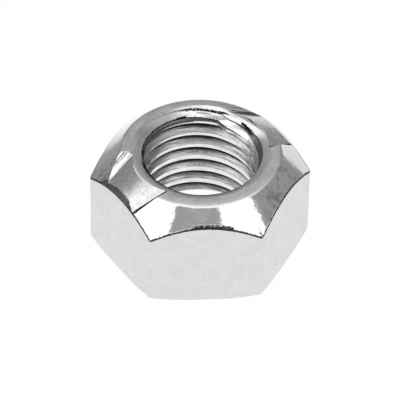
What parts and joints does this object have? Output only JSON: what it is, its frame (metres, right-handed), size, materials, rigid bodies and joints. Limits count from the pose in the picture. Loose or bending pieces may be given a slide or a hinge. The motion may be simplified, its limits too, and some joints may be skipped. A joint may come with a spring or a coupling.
{
  "type": "all-metal lock nut",
  "caption": "Hexagon lock nut of one metal, with a conical upper end crimped on opposite sides so that its thread grips the bolt.",
  "frame": {"origin": "centre of the bearing face, on the thread's axis", "axes": "+Z along the thread, from the bearing face towards the crimped end; +X through a corner, two flats square to Y"},
  "size_m": [0.0276, 0.024, 0.0141],
  "materials": {
    "zinc_plate": "bright zinc plate on steel, satin on the flats and the top ring, glossy on the cone"
  },
  "bodies": {
    "root": {"lock_nut": "zinc_plate"}
  },
  "joints": []
}
